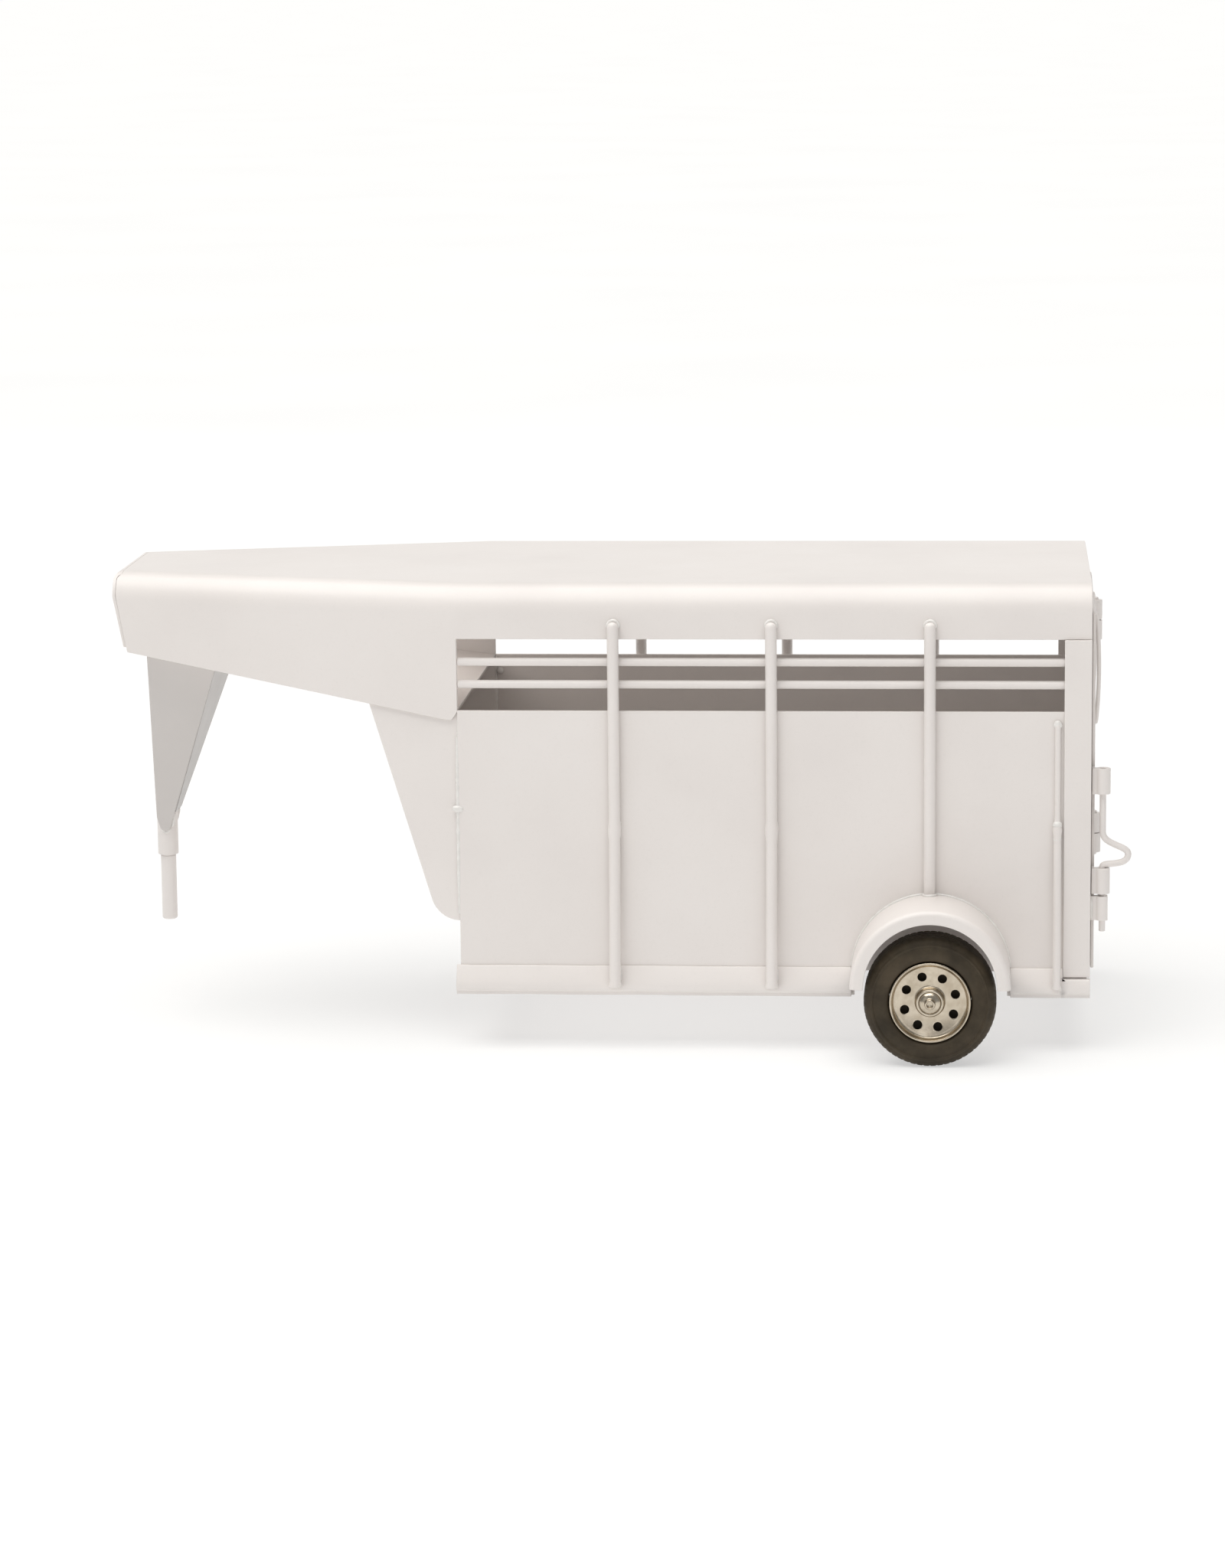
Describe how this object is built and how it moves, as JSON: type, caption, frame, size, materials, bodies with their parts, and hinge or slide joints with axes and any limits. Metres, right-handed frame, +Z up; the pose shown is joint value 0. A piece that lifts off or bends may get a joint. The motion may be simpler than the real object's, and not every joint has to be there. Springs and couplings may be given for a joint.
{
  "type": "model livestock trailer",
  "caption": "Toy-scale gooseneck stock trailer in welded sheet steel, with an open-sided cargo box, wheels under half-drum fenders and a swinging rear gate.",
  "frame": {"origin": "on the ground under the wheels, at the middle of the whole model's length and width", "axes": "+X towards the rear gate, -X towards the gooseneck, -Y towards the left side, +Z up"},
  "size_m": [0.3948, 0.2122, 0.1792],
  "materials": {
    "white_paint": "brushed gloss white enamel on welded sheet steel and rod",
    "tyre_rubber": "matt black moulded toy tyre",
    "rim_chrome": "warm vacuum-plated chrome",
    "axle_steel": "plain drawn steel rod"
  },
  "bodies": {
    "trailer": {"floor_plate": "white_paint", "left_base_rail": "white_paint", "right_base_rail": "white_paint", "front_sill": "white_paint", "rear_sill": "white_paint", "left_side_panel": "white_paint", "right_side_panel": "white_paint", "lower_front_panel": "white_paint", "front_wall": "white_paint", "left_front_wing": "white_paint", "right_front_wing": "white_paint", "nose_floor": "white_paint", "nose_sheet": "white_paint", "nose_front_plate": "white_paint", "roof_sheet": "white_paint", "rear_header": "white_paint", "left_rear_post": "white_paint", "right_rear_post": "white_paint", "left_rod_front": "white_paint", "left_rod_middle": "white_paint", "left_rod_wheel": "white_paint", "left_rod_rear": "white_paint", "right_rod_front": "white_paint", "right_rod_middle": "white_paint", "right_rod_wheel": "white_paint", "right_rod_rear": "white_paint", "left_bar_upper": "white_paint", "left_bar_lower": "white_paint", "right_bar_upper": "white_paint", "right_bar_lower": "white_paint", "left_fender": "white_paint", "right_fender": "white_paint", "axle": "axle_steel", "axle_brackets": "white_paint", "axle_collars": "axle_steel", "axle_nuts": "axle_steel", "coupler_left_plate": "white_paint", "coupler_right_plate": "white_paint", "coupler_rear_plate": "white_paint", "coupler_tube": "white_paint", "king_pin": "white_paint", "frame_knuckles": "white_paint", "hinge_pins": "white_paint", "latch_keeper": "white_paint"},
    "left_wheel": {"left_tyre": "tyre_rubber", "left_rim": "rim_chrome", "left_hub_cap": "rim_chrome"},
    "right_wheel": {"right_tyre": "tyre_rubber", "right_rim": "rim_chrome", "right_hub_cap": "rim_chrome"},
    "gate": {"gate_panel": "white_paint", "gate_bar_upper": "white_paint", "gate_bar_lower": "white_paint", "gate_uprights": "white_paint", "gate_knuckles": "white_paint", "latch_guides": "white_paint"},
    "latch_bolt": {"latch_bolt": "white_paint"}
  },
  "joints": [
    {"name": "left_wheel_spin", "type": "hinge", "parent": "trailer", "child": "left_wheel", "pos_m": [0.121, -0.0945, 0.025], "axis": [0, 1, 0], "continuous": true},
    {"name": "right_wheel_spin", "type": "hinge", "parent": "trailer", "child": "right_wheel", "pos_m": [0.121, 0.0945, 0.025], "axis": [0, 1, 0], "continuous": true},
    {"name": "gate_swing", "type": "hinge", "parent": "trailer", "child": "gate", "pos_m": [0.186, 0.07, 0.1], "axis": [0, 0, 1], "range_deg": [0, 180]},
    {"name": "latch_lift", "type": "slide", "parent": "gate", "child": "latch_bolt", "axis": [0, 0, 1], "range_m": [0, 0.0145]}
  ]
}
